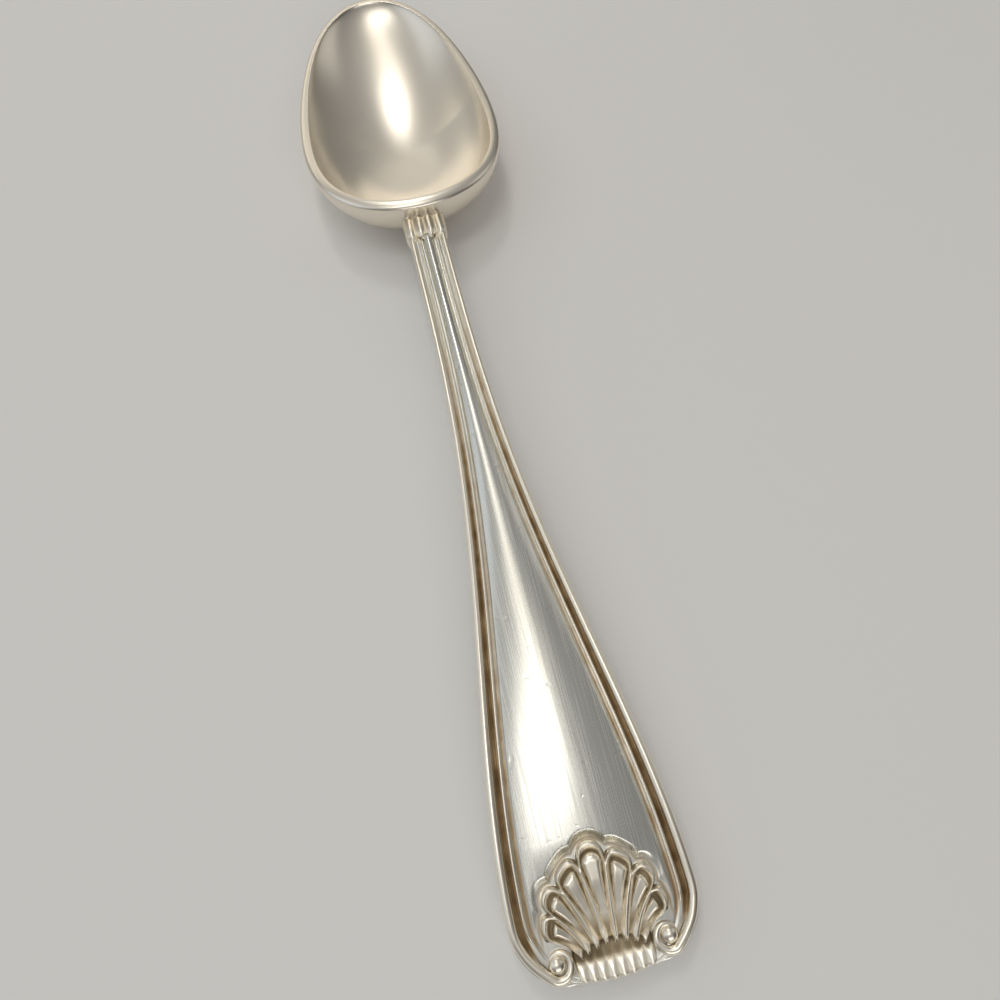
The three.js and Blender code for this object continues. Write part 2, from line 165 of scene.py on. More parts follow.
@dataclass(frozen=True)
class SpoonPlan:
    """Outline and heights of the spoon. A place s runs from the handle's end to the bowl's tip."""

    length: float = 140.4
    handle_length: float = 91.2
    handle_width: float = 18.2
    stem_width: float = 5.0
    end_flat: float = 6.6
    end_corner: float = 6.0
    end_squareness: float = 2.05
    flare_length: float = 80.0
    flare_power: float = 3.5
    end_seat: float = 2.0
    end_slope: float = 0.08
    neck_seat: float = 6.9
    neck_slope: float = 0.03
    end_thickness: float = 2.25
    neck_thickness: float = 2.9
    panel_crown: float = 0.8
    stem_crown: float = 0.45
    crown_run: Run = (3.5, 8.4)
    bead: float = 0.95
    groove: float = 0.58
    thread: float = 0.38
    fine_groove: float = 0.45
    stem_border: float = 0.76
    stem_tarnish: float = 0.12
    tarnish_power: float = 0.3
    neck_place: float = 87.7
    slope_step: float = 0.01

    @property
    def border(self) -> float:
        """Width of the whole border at the handle's widest place."""
        return self.bead + self.groove + self.thread + self.fine_groove

    def half_width(self, s: float) -> float:
        """Measures the handle's outline.

        Args:
            s: Place along the handle.

        Returns:
            Half the handle's width there.
        """
        if s < self.end_corner:
            left = 1 - max(s, 0.0) / self.end_corner
            spread = (1 - left**self.end_squareness) ** (1 / self.end_squareness)
            return (self.end_flat + (self.handle_width - self.end_flat) * spread) / 2
        t = min((s - self.end_corner) / self.flare_length, 1.0)
        flare = (1 - t) ** self.flare_power * (1 + self.flare_power * t)
        return (self.stem_width + (self.handle_width - self.stem_width) * flare) / 2

    def wideness(self, s: float) -> float:
        """Returns 0 on the stem and 1 from the widest place to the end."""
        wide = 2 * self.half_width(max(s, self.end_corner)) - self.stem_width
        return wide / (self.handle_width - self.stem_width)

    def border_share(self, s: float) -> float:
        """Returns the share of the border's widths that is left at a place."""
        return between(self.stem_border, 1.0, self.wideness(s))

    def tarnish(self, s: float) -> float:
        """Returns the share of the border's stain that is left at a place: the stem is rubbed clean."""
        return between(self.stem_tarnish, 1.0, self.wideness(s) ** self.tarnish_power)

    def panel_half(self, s: float) -> float:
        """Returns half the width of the domed panel between the borders."""
        return self.half_width(s) - self.border * self.border_share(s)

    def seat(self, s: float) -> float:
        """Follows the handle's bend.

        Args:
            s: Place along the handle.

        Returns:
            Height of the ledge that the border lies on.
        """
        t = s / self.handle_length
        rest = 1 - t
        ends = self.end_seat * rest * rest * (1 + 2 * t) + self.neck_seat * t * t * (3 - 2 * t)
        slopes = self.end_slope * t * rest * rest - self.neck_slope * t * t * rest
        return ends + slopes * self.handle_length

    def back(self, s: float) -> float:
        """Returns the height of the handle's underside."""
        thickness = between(self.end_thickness, self.neck_thickness, smooth(s / self.handle_length))
        return max(0.0, self.seat(s) - thickness)

    def crown(self, s: float) -> float:
        """Returns the height of the panel's dome over the ledge."""
        crown = between(self.stem_crown, self.panel_crown, math.sqrt(self.wideness(s)))
        return crown * smooth(s, *self.crown_run)

    def inside(self, s: float, depth: float) -> Vector:
        """Finds a point inside the outline.

        Args:
            s: Place on the outline.
            depth: Distance from the outline, square to it.

        Returns:
            The point's x and s, on the right-hand side.
        """
        low, high = max(s - self.slope_step, 0.0), s + self.slope_step
        slope = (self.half_width(high) - self.half_width(low)) / (high - low)
        inward = Vector((-1.0, slope)).normalized()
        return Vector((self.half_width(s), s)) + inward * depth


@dataclass(frozen=True)
class ShellPlan:
    """Plan of the scallop shell: u runs from -1 to 1 across the fan, v from the teeth to the edge."""

    lobes: int = 7
    foot: float = 3.1
    middle: float = 2.7
    foot_width: float = 6.0
    foot_bow: float = 0.072
    half_width: float = 6.2
    height: float = 8.5
    reach: tuple[float, ...] = (1.0, 0.955, 1.03, 1.0, 1.0)
    notch: float = 0.95
    side_notch: float = 0.4
    notch_power: float = 2.6
    fan: tuple[float, float, float] = (112.2, -57.9, 26.5)
    fan_tries: int = 6
    knee: tuple[float, float] = (0.38, 0.55)
    side_knee: float = 0.78
    moat: float = 0.36
    moat_notch: float = 0.5

    def angle(self, u: float) -> float:
        """Returns the angle from the axis at which the line u meets the edge."""
        return math.radians(u * (self.fan[0] + u * u * (self.fan[1] + u * u * self.fan[2])))

    def across(self, angle: float) -> float:
        """Finds the line of the fan that meets the edge at an angle.

        Args:
            angle: Angle from the axis.

        Returns:
            The line's u, held between -1 and 1.
        """
        u = math.degrees(angle) / self.fan[0]
        for _ in range(self.fan_tries):
            miss = self.angle(u) - angle
            slope = self.fan[0] + u * u * (3 * self.fan[1] + 5 * u * u * self.fan[2])
            u = min(max(u - miss / math.radians(slope), -1.0), 1.0)
        return u

    def within_lobe(self, u: float) -> float:
        """Finds where in its lobe a line of the fan lies.

        Args:
            u: Line of the fan.

        Returns:
            0 on the middle of the lobe, and -1 and 1 on the ridges beside it.
        """
        spread = self.lobes * u
        lobe = min(max(2 * round(spread / 2), 1 - self.lobes), self.lobes - 1)
        return spread - lobe

    def cut(self, u: float, share: float = 1.0) -> float:
        """Measures how far the edge draws in, at the notches and on the lobes that reach less far.

        Args:
            u: Line of the fan.
            share: Share of the notches' depth that counts.

        Returns:
            How far the edge draws in.
        """
        place = abs(u) * self.lobes / 2
        lobe = int(place)
        reach = between(self.reach[lobe], self.reach[lobe + 1], smooth(place - lobe))
        notch = between(self.notch, self.side_notch, u * u) * abs(self.within_lobe(u)) ** self.notch_power
        return share * notch + (1 - reach) * self.height

    def edge(self, u: float, grow: float) -> Vector:
        """Finds a point of the scalloped edge.

        Args:
            u: Line of the fan.
            grow: How far the edge is grown outwards.

        Returns:
            The point's x and s.
        """
        grow -= self.cut(u)
        angle = self.angle(u)
        x = (self.half_width + grow) * math.sin(angle)
        return Vector((x, self.middle + (self.height + grow) * math.cos(angle)))

    def point(self, u: float, v: float, tooth: float = 0.0) -> Vector:
        """Finds a point of the fan.

        Args:
            u: Line of the fan.
            v: Share of the way from the teeth to the edge.
            tooth: How far the line starts below the row of teeth.

        Returns:
            The point's x and s.
        """
        x = u * self.foot_width / 2
        foot = Vector((x, self.foot - self.foot_bow * x * x - tooth))
        edge = self.edge(u, 0.0)
        rise = between(self.knee[1], self.side_knee, u * u)
        knee = Vector((between(foot.x, edge.x, self.knee[0]), between(foot.y, edge.y, rise)))
        return foot.lerp(knee, v).lerp(knee.lerp(edge, v), v)

    def outside(self, x: float, s: float) -> float:
        """Measures the distance from the moat's scalloped outer line.

        Args:
            x: Place across.
            s: Place along.

        Returns:
            How far outside the line the place is, or how far inside as a negative length.
        """
        along = s - self.middle
        wide, high = self.half_width + self.moat, self.height + self.moat
        u = self.across(math.atan2(x / wide, along / high))
        notch = self.cut(u, self.moat_notch)
        share = math.hypot(x / (wide - notch), along / (high - notch))
        return (share - 1) * math.hypot(x, along)


class Workpiece:
    """A mesh in the making, in millimetres, that remembers how deep each point lies in a hollow."""

    WELD = 1e-4
    GRID_HALF = 0.5
    STUD_SIDES = 40
    STUD_RINGS = 24
    STUD_STAIN = 0.6
    STUD_STAIN_SHARE = 0.5

    def __init__(self, name: str, plan: SpoonPlan) -> None:
        """Starts an empty mesh.

        Args:
            name: Name of the finished object.
            plan: The spoon's plan, for bringing its middle to the origin.
        """
        self.name = name
        self.middle = plan.length / 2
        self.mesh = bmesh.new()
        self.hollow = self.mesh.verts.layers.float.new(HOLLOW)

    def skin(self, rows: Rows, wrap: bool = False) -> None:
        """Lays a grid over rows of spots.

        Args:
            rows: Rows of as many spots each.
            wrap: Whether each row closes on itself.
        """
        around = len(rows[0])
        across, along = around - 1 + int(wrap), len(rows) - 1
        made = bmesh.ops.create_grid(self.mesh, x_segments=across, y_segments=along, size=self.GRID_HALF)
        for vert in made["verts"]:
            i = round((vert.co.x + self.GRID_HALF) * across) % around
            j = round((vert.co.y + self.GRID_HALF) * along)
            spot = rows[j][i]
            vert.co = (spot.x, spot.s, spot.z)
            vert[self.hollow] = spot.hollow

    def dome(self, middle: Vector, radius: float, height: float) -> None:
        """Sets a rounded stud on the piece.

        Args:
            middle: Middle of its base.
            radius: Radius of its base.
            height: Height over its base.
        """
        shape = Matrix.Translation(middle) @ Matrix.Diagonal((radius, radius, height, 1.0))
        made = bmesh.ops.create_uvsphere(
            self.mesh, u_segments=self.STUD_SIDES, v_segments=self.STUD_RINGS, radius=1.0, matrix=shape
        )
        for vert in made["verts"]:
            lift = (vert.co.z - middle.z) / (self.STUD_STAIN_SHARE * height)
            vert[self.hollow] = self.STUD_STAIN * smooth(1 - lift)

    def order_faces(self) -> None:
        """Numbers the faces by their places, because a stud's faces come in another order in each run."""
        placed = sorted(self.mesh.faces, key=lambda face: face.calc_center_median()[:])
        for number, face in enumerate(placed):
            face.index = number
        self.mesh.faces.sort()

    def finish(self) -> bpy.types.Object:
        """Welds, closes and turns the mesh outwards, and brings it to metres.

        Returns:
            The finished object, at the origin.
        """
        mesh = self.mesh
        bmesh.ops.remove_doubles(mesh, verts=mesh.verts, dist=self.WELD)
        bmesh.ops.holes_fill(mesh, edges=[e for e in mesh.edges if e.is_boundary], sides=0)
        bmesh.ops.recalc_face_normals(mesh, faces=mesh.faces)
        if mesh.calc_volume(signed=True) < 0:
            bmesh.ops.reverse_faces(mesh, faces=mesh.faces)
        bmesh.ops.translate(mesh, verts=mesh.verts, vec=(0.0, -self.middle, 0.0))
        bmesh.ops.scale(mesh, verts=mesh.verts, vec=(MM, MM, MM))
        self.order_faces()
        for face in mesh.faces:
            face.smooth = True
        data = bpy.data.meshes.new(self.name)
        mesh.to_mesh(data)
        mesh.free()
        return link(self.name, data)


@dataclass
class Piece(ABC):
    """One piece of the spoon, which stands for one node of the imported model."""

    plan: SpoonPlan
    name: str = ""
    node: str = ""
    slot: Slot = Slot.STRUCK
    look: Look = Look.ORNAMENT

    @abstractmethod
    def shape(self, work: Workpiece) -> None:
        """Puts the piece's surfaces into a workpiece."""

    def build(self) -> bpy.types.Object:
        """Builds the piece.

        Returns:
            The finished object, riding on the body in place of its node.
        """
        work = Workpiece(self.name, self.plan)
        self.shape(work)
        piece = work.finish()
        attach(piece, BODY)
        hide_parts(self.node)
        return piece

    def dress(self, piece: bpy.types.Object, finishes: dict[Look, bpy.types.Material]) -> None:
        """Gives the object its finish."""
        piece.data.materials.append(finishes[self.look])


class LipPoint(NamedTuple):
    """A point of the lip's section: shares of the rim's width and bevel, and lengths added to them."""

    width: float
    inset: float
    bevel: float
    drop: float


@dataclass
class Bowl(Piece):
    """The bowl: hollow, bevelled lip and rounded outside."""

    name: str = "bowl_shell"
    node: str = "bowl"
    slot: Slot = Slot.POLISHED
    look: Look = Look.BOWL
    length: float = 49.2
    width: float = 29.2
    taper: float = 0.17
    fullness: float = 0.15
    wall: float = 1.2
    belly_back: float = 3.5
    rim_height: float = 7.7
    rim_rise: float = 1.9
    rim_width: float = 1.5
    rim_bevel: float = 0.35
    round_in: float = 0.12
    round_out: float = 0.3
    rest: float = 0.16
    side_curve: tuple[float, float] = (2.0, 0.8)
    back_curve: tuple[float, float] = (2.6, 0.39)
    back_run: float = 0.5
    sides: int = 180
    rings: int = 56
    outline_steps: int = 720
    lip: tuple[LipPoint, ...] = (
        LipPoint(1.0, -0.02, 0.0, 0.06),
        LipPoint(1.0, -0.06, 0.0, 0.02),
        LipPoint(1.0, -0.13, 0.0, 0.0),
        LipPoint(0.6, 0.0, 0.1, 0.0),
        LipPoint(0.35, 0.0, 0.35, 0.0),
        LipPoint(0.0, 0.2, 0.75, 0.0),
        LipPoint(0.0, 0.09, 1.0, 0.04),
        LipPoint(0.0, 0.02, 1.0, 0.15),
    )
    widest: float = field(default=1.0, init=False)
    directions: list[tuple[float, float]] = field(default_factory=list, init=False)

    def __post_init__(self) -> None:
        """Measures the widest place of the outline and its reach in every direction."""
        angles = steps(self.outline_steps, 0.0, math.pi)
        self.widest = max(self.share(angle) for angle in angles)
        for angle in angles:
            rim = self.rim(angle, 0.0)
            self.directions.append((math.atan2(rim.x, rim.s - self.belly), angle))

    @property
    def belly(self) -> float:
        """Place of the bowl's deepest point."""
        return self.plan.handle_length + self.length / 2 - self.belly_back

    def share(self, angle: float) -> float:
        """Returns the outline's half width at an angle as a share: 0 is the tip and pi the back."""
        c = math.cos(angle)
        return math.sin(angle) * (1 - self.taper * c + self.fullness * c * c) / self.widest

    def rim(self, angle: float, inset: float) -> Spot:
        """Finds a point of the rim.

        Args:
            angle: Angle on the outline: 0 is the tip and pi the back.
            inset: How far the point is moved in towards the belly.

        Returns:
            The point.
        """
        x = self.width / 2 * self.share(angle)
        along = self.length / 2 * math.cos(angle) + self.belly_back
        keep = 1 - inset / math.hypot(x, along)
        height = self.rim_height + self.rim_rise * math.cos(angle) ** 2
        return Spot(x * keep, self.belly + along * keep, height)

    def rise(self, angle: float, share: float) -> float:
        """Returns how deep the wall lies: 1 at the deepest point and 0 at the rim.

        Args:
            angle: Direction from the belly.
            share: Share of the way from the deepest point to the rim.

        Returns:
            The depth as a share.
        """
        back = max(0.0, -math.cos(angle)) * smooth(share / self.back_run)
        bend = between(self.side_curve[0], self.back_curve[0], back)
        power = between(self.side_curve[1], self.back_curve[1], back)
        return (1 - share**bend) ** power

    def ring(self, share: float, inset: float, floor: float, drop: float) -> list[Spot]:
        """Makes one ring of a wall.

        Args:
            share: Share of the way from the deepest point to the rim.
            inset: How far inside the outline the wall meets the rim.
            floor: Height of the deepest point.
            drop: How far below the rim's height the wall ends.

        Returns:
            The ring's spots.
        """
        spots = []
        for angle in steps(self.sides, 0.0, 2 * math.pi)[:-1]:
            rim = self.rim(angle, inset)
            height = between(rim.z - drop, floor, self.rise(angle, share))
            spots.append(Spot(rim.x * share, between(self.belly, rim.s, share), height))
        return spots

    def outer_height(self, x: float, s: float) -> float:
        """Measures the height of the bowl's outside.

        Args:
            x: Place across.
            s: Place along.

        Returns:
            Height of the outside above the place, or of the rim for a place outside the bowl.
        """
        reach = math.hypot(x, s - self.belly)
        turn = math.atan2(abs(x), s - self.belly)
        at = min(bisect_left(self.directions, (turn, 0.0)), len(self.directions) - 1)
        angle = self.directions[at][1]
        rim = self.rim(angle, 0.0)
        share = min(reach / math.hypot(rim.x, rim.s - self.belly), 1.0)
        return between(rim.z - self.rim_bevel, 0.0, self.rise(angle, share))

    def shape(self, work: Workpiece) -> None:
        """Skins the hollow, the lip and the outside in one.

        Args:
            work: The workpiece.
        """
        shares = [math.sin(math.pi / 2 * t) for t in steps(self.rings)]
        rows = [self.ring(share, self.rim_width, self.wall, self.round_in) for share in shares]
        for point in self.lip:
            inset = point.width * self.rim_width + point.inset
            rows.append(self.ring(1.0, inset, 0.0, point.bevel * self.rim_bevel + point.drop))
        for share in reversed(shares):
            ring = self.ring(share, 0.0, 0.0, self.rim_bevel + self.round_out)
            if share < self.rest:
                flat = max(0.0, share - self.rest * (1 - share))
                ring = [Spot(p.x, p.s, p.z * flat) for p in ring]
            rows.append(ring)
        work.skin(rows, wrap=True)


@dataclass
class HandleBlank(Piece):
    """The handle's body: ledges for the border, domed panel, moat round the shell and plain back."""

    name: str = "handle_body"
    node: str = "handle_blank"
    slot: Slot = Slot.POLISHED
    look: Look = Look.HANDLE
    shell: ShellPlan = ShellPlan()
    edge_round: float = 0.35
    back_round: float = 0.45
    back_flat: float = 0.6
    back_soft: float = 0.5
    back_stain: float = 0.1
    plain_end: Run = (3.4, 2.5)
    end_stain: float = 0.22
    stain_run: Run = (1.5, 3.0)
    shoulder: float = 0.1
    shoulder_run: float = 0.22
    shoulder_line: float = 0.35
    shoulder_stain: float = 0.5
    groove_sink: float = 0.07
    groove_stain: float = 1.4
    fine_sink: float = 0.8
    fine_stain: float = 0.7
    stain_spread: float = 1.5
    moat_run: float = 0.75
    # Painted shade along the moat's floor beside the shell: its place, half width and darkness.
    moat_shade_line: float = -0.1
    moat_shade_half: float = 0.36
    moat_painted_shade: float = 0.55
    hollow_sink: float = 0.85
    hollow_half: float = 3.9
    hollow_side: float = 0.65
    hollow_span: tuple[float, float] = (0.2, 4.6)
    end_round: float = 0.35
    tail: float = 0.4
    fine_end: float = 14.0
    fine_step: float = 0.11
    coarse_step: float = 0.5
    end_steps: int = 9
    arc_steps: int = 6
    panel_steps: int = 124
    border_steps: int = 20

    def stations(self) -> list[float]:
        """Lays out the cross-sections, close together under the ornament.

        Returns:
            Their places.
        """
        last = self.plan.neck_place + self.tail
        corner = [self.end_round * (1 - math.cos(math.pi / 2 * t)) for t in steps(self.end_steps)]
        fine = round((self.fine_end - self.end_round) / self.fine_step)
        coarse = round((last - self.fine_end) / self.coarse_step)
        places = corner + steps(fine, self.end_round, self.fine_end)[1:]
        return places + steps(coarse, self.fine_end, last)[1:]

    def on_panel(self, x: float, s: float) -> tuple[float, float]:
        """Finds the surface of the domed panel, which sinks into the moat round the shell.

        Args:
            x: Place across.
            s: Place along.

        Returns:
            Its height over the ledge, and its stain: tarnish by the border, and a painted shade line along
                the moat's floor by the shell.
        """
        panel = self.plan.panel_half(s)
        onto = panel - abs(x)
        outside = self.shell.outside(x, s)
        low_end = smooth(s, *self.plain_end)
        shoulder = self.shoulder * low_end * smooth(onto / self.shoulder_run)
        dome = self.plan.crown(s) * (1 - (x / panel) ** 2)
        # Painted shade: a dark line along the moat's floor, where the shell's steep wall stands in shadow.
        line = self.moat_painted_shade * hump((outside - self.moat_shade_line) / self.moat_shade_half)
        side = self.shoulder_stain * self.plan.tarnish(s) * low_end * hump(onto / self.shoulder_line)
        return (shoulder + dome) * smooth(outside / self.moat_run), max(line, side)

    def on_border(self, x: float, s: float) -> tuple[float, float]:
        """Finds the surface of the ledge, which has a shallow groove on each side of the thread.

        Args:
            x: Place across.
            s: Place along.

        Returns:
            Its height over the ledge, and its stain.
        """
        plan = self.plan
        depth = (plan.half_width(s) - abs(x)) / plan.border_share(s)
        groove = (depth - plan.bead - plan.groove / 2) / (plan.groove / 2)
        fine = (plan.border - plan.fine_groove / 2 - depth) / (plan.fine_groove / 2)
        sink = self.groove_sink * (hump(groove) + self.fine_sink * hump(fine))
        groove_stain = self.groove_stain * math.sqrt(hump(groove / self.stain_spread))
        fine_stain = self.fine_stain * math.sqrt(hump(fine / self.stain_spread))
        return -sink, min(1.0, plan.tarnish(s) * max(groove_stain, fine_stain))

    def top(self, x: float, s: float) -> tuple[float, float]:
        """Finds the upper surface.

        Args:
            x: Place across.
            s: Place along.

        Returns:
            Its height, and how deep it lies in a hollow, which sets its tarnish and the painted shade in the
            moat and in the pit under the teeth.
        """
        part = self.on_panel if abs(x) < self.plan.panel_half(s) else self.on_border
        lift, stain = part(x, s)
        # The pit under the shell's teeth is darkened fully: tarnish in the recess and painted shade under the
        # teeth.
        start, end = self.hollow_span
        pit = hump((2 * s - start - end) / (end - start))
        pit *= smooth((self.hollow_half - abs(x)) / self.hollow_side)
        plain = self.end_stain * (1 - smooth(s, *self.plain_end))
        stain = max(stain * smooth(s, *self.stain_run), plain, pit)
        return self.plan.seat(s) + lift - self.hollow_sink * pit, stain

    def section(self, s: float) -> list[Spot]:
        """Makes one closed cross-section.

        Args:
            s: Place along.

        Returns:
            The section's spots.
        """
        plan = self.plan
        half, panel = plan.half_width(s), plan.panel_half(s)
        turned = self.end_round * (1 - bulge(s / self.end_round))
        low = plan.back(s) + turned
        right = steps(self.border_steps, half, panel) + steps(self.panel_steps // 2, panel, 0.0)[1:]
        across = [-x for x in right] + right[-2::-1]
        spots = []
        for x in across:
            z, stain = self.top(x, s)
            spots.append(Spot(x, s, z - turned, stain))
        corners = [
            (half, plan.seat(s) - turned),
            (half - self.edge_round / 2, low + self.back_round),
            (half * self.back_flat, low),
            (0.0, low),
        ]
        under = soften(corners, self.back_soft, self.arc_steps)[1:]
        spots += [Spot(x, s, z, self.back_stain) for x, z in under]
        spots += [Spot(-x, s, z, self.back_stain) for x, z in under[-2::-1]]
        return spots

    def shape(self, work: Workpiece) -> None:
        """Skins the handle from its end to inside the collar."""
        work.skin([self.section(s) for s in self.stations()], wrap=True)


@dataclass
class Wire(Piece):
    """A half-round wire soldered on the ledge of one side."""

    side: Side = Side.LEFT
    width: float = 0.95
    height: float = 0.62
    roundness: float = 0.85
    sunk: float = 0.3
    inner_stain: float = 0.9
    outer_stain: float = 0.1
    stain_share: float = 0.5
    tail: float = 0.3
    lowest: float = 1.2
    step: float = 0.35
    sides: int = 18

    def places(self) -> list[float]:
        """Returns the places along the handle that the wire passes, from inside the collar down."""
        count = round((self.plan.neck_place - self.lowest) / self.step)
        return steps(count, self.plan.neck_place + self.tail, self.lowest)

    def ring(self, at: Vector, along: Vector, share: float) -> list[Spot]:
        """Makes one cross-section of the wire.

        Args:
            at: Place of its middle, in plan.
            along: The wire's direction there, in plan.
            share: Share of the full width and height.

        Returns:
            The ring's spots.
        """
        across = Vector((along.y, -along.x))
        angles = [0.0, *steps(self.sides, 0.0, math.pi), math.pi]
        spots = []
        for i, angle in enumerate(angles):
            flat = at + across * (self.width / 2 * share * math.cos(angle))
            lift = self.height * share * math.sin(angle) ** self.roundness
            if i in (0, len(angles) - 1):
                lift = -self.sunk
            stain = smooth(1 - lift / (self.stain_share * self.height * share)) * self.plan.tarnish(flat.y)
            stain *= self.inner_stain if i < len(angles) / 2 else self.outer_stain
            spots.append(Spot(self.side.value * flat.x, flat.y, self.plan.seat(flat.y) + lift, stain))
        return spots

    def sweep(self, work: Workpiece, path: Sequence[Vector], shares: Sequence[float]) -> None:
        """Draws the wire's section along a path.

        Args:
            work: The workpiece.
            path: Places of the wire's middle, in plan.
            shares: Share of the full size at each place.
        """
        rows = []
        for i, at in enumerate(path):
            along = path[min(i + 1, len(path) - 1)] - path[max(i - 1, 0)]
            rows.append(self.ring(at, along.normalized(), shares[i]))
        work.skin(rows, wrap=True)


@dataclass
class BorderWire(Wire):
    """The outer bead, which rounds the corner of the end and curls up in a scroll with a studded eye."""

    eye: tuple[float, float] = (5.25, 2.05)
    scroll_radius: float = 1.3
    inner_radius: float = 0.72
    turns: float = 0.72
    start_angle: float = -62.0
    thinning: float = 0.45
    stud_shift: float = 0.05
    stud_radius: float = 0.82
    stud_height: float = 0.74
    scroll_steps: int = 72
    joint_before: int = 8
    joint_after: int = 12
    smoothings: int = 6

    def path(self) -> tuple[list[Vector], list[float]]:
        """Draws the bead's line down the handle and into the scroll.

        Returns:
            The places of the bead's middle and its share of size at each.
        """
        plan, places = self.plan, self.places()
        points = [plan.inside(s, plan.bead * plan.border_share(s) / 2) for s in places]
        shares = [plan.border_share(s) for s in places]
        for t in steps(self.scroll_steps):
            angle = math.radians(self.start_angle - 360 * self.turns * t)
            radius = between(self.scroll_radius, self.inner_radius, smooth(t) * t)
            points.append(Vector(self.eye) + radius * Vector((math.cos(angle), math.sin(angle))))
            shares.append(1 - self.thinning * t)
        last = len(places) - 1
        joint = range(last - self.joint_before, last + self.joint_after)
        for _ in range(self.smoothings):
            eased = [(points[i - 1] + points[i] * 2 + points[i + 1]) / 4 for i in joint]
            points[joint.start:joint.stop] = eased
        return points, shares

    def shape(self, work: Workpiece) -> None:
        """Sweeps the bead and sets the stud in the scroll's eye.

        Args:
            work: The workpiece.
        """
        self.sweep(work, *self.path())
        x, s = self.eye
        base = Vector((self.side.value * (x + self.stud_shift), s + self.stud_shift, self.plan.seat(s)))
        work.dome(base, self.stud_radius, self.stud_height)


@dataclass
class InnerThread(Wire):
    """The fine wire beside the groove, which runs out by the scroll."""

    width: float = 0.4
    height: float = 0.4
    outer_stain: float = 0.9
    lowest: float = 3.3
    step: float = 0.4
    sides: int = 10
    tip: float = 1.6
    tip_share: float = 0.05

    def shape(self, work: Workpiece) -> None:
        """Sweeps the thread from the collar to its tip beside the scroll.

        Args:
            work: The workpiece.
        """
        plan, places = self.plan, self.places()
        depth = plan.bead + plan.groove + plan.thread / 2
        path = [plan.inside(s, depth * plan.border_share(s)) for s in places]
        tips = [max(self.tip_share, math.sqrt(smooth(s, self.lowest, self.tip))) for s in places]
        self.sweep(work, path, [plan.border_share(s) * tip for s, tip in zip(places, tips)])


